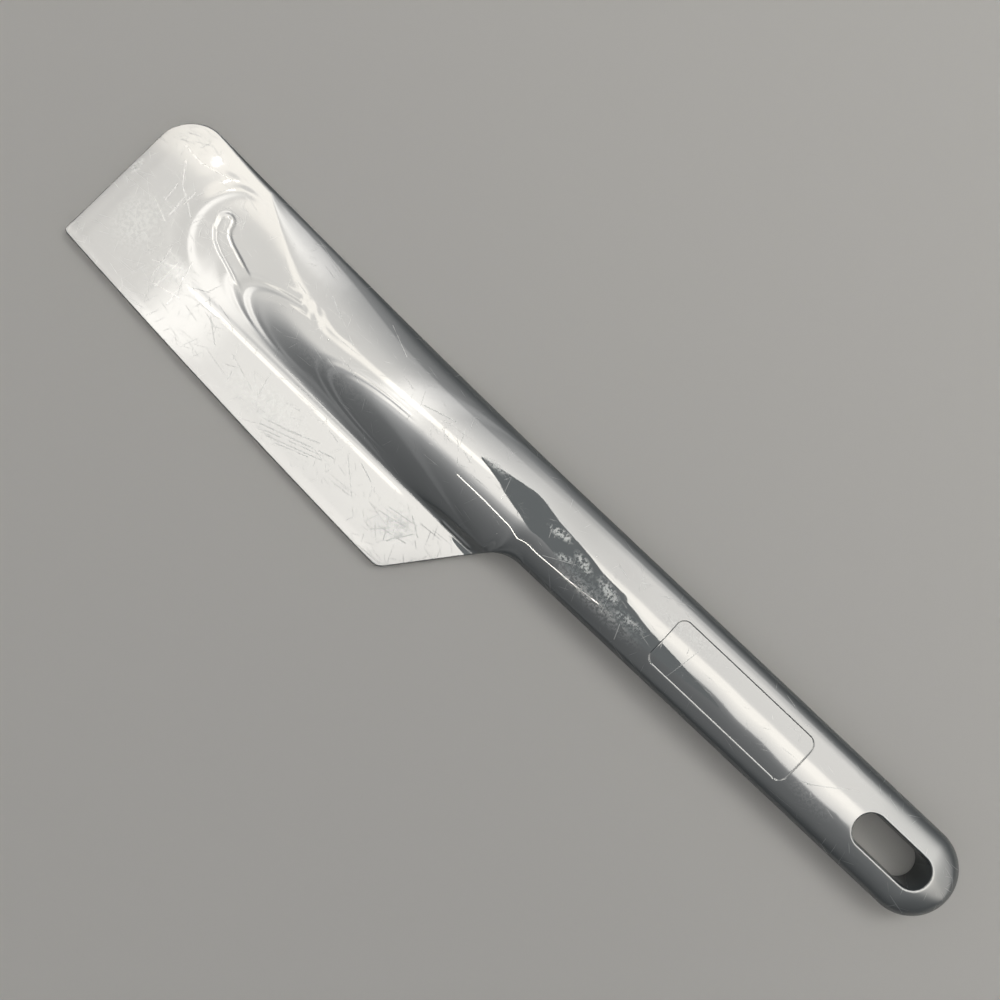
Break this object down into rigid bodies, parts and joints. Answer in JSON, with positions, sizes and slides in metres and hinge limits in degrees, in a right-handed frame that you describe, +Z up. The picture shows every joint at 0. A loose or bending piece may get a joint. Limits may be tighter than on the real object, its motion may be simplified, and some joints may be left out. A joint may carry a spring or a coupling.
{
  "type": "food processor spatula",
  "caption": "One-piece moulded scraper with a flat angled blade, a raised spine running into the neck, and a solid oval handle with a hanging slot and a bare panel.",
  "frame": {"origin": "under the middle of the outline, on the flat underside of the blade", "axes": "+X along the handle to its slotted end, +Y towards the back edge opposite the scraping edge, +Z up from the flat underside"},
  "size_m": [0.26, 0.0498, 0.0102],
  "materials": {
    "dark_plastic": "polished dark grey plastic with fine scratches from use"
  },
  "bodies": {
    "root": {"spatula_body": "dark_plastic"}
  },
  "joints": []
}
